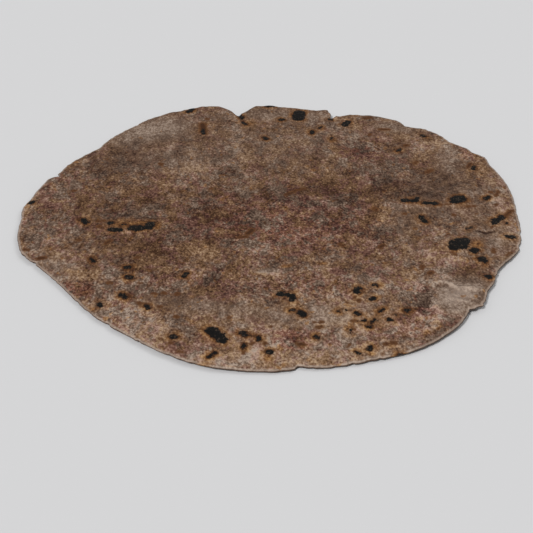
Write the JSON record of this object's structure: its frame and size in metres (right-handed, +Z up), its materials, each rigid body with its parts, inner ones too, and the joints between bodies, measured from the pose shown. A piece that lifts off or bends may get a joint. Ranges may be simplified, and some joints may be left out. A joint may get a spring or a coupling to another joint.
{
  "type": "chapati flatbread",
  "caption": "Thin round unleavened wholegrain flatbread with an uneven hand-rolled edge, shallow swells and a gently curled rim.",
  "frame": {"origin": "under the middle of the bread's bounding box, on the surface it lies on", "axes": "+Z up through the bread's thickness, the baked face that shows upwards; +Y away from the viewer"},
  "size_m": [0.224, 0.2202, 0.004],
  "materials": {
    "crust": "dry baked wholegrain dough, matt and grainy: mottled grey-brown and purple-brown with tan specks, floury patches and black char spots with tan rims"
  },
  "bodies": {
    "root": {"chapati": "crust"}
  },
  "joints": []
}
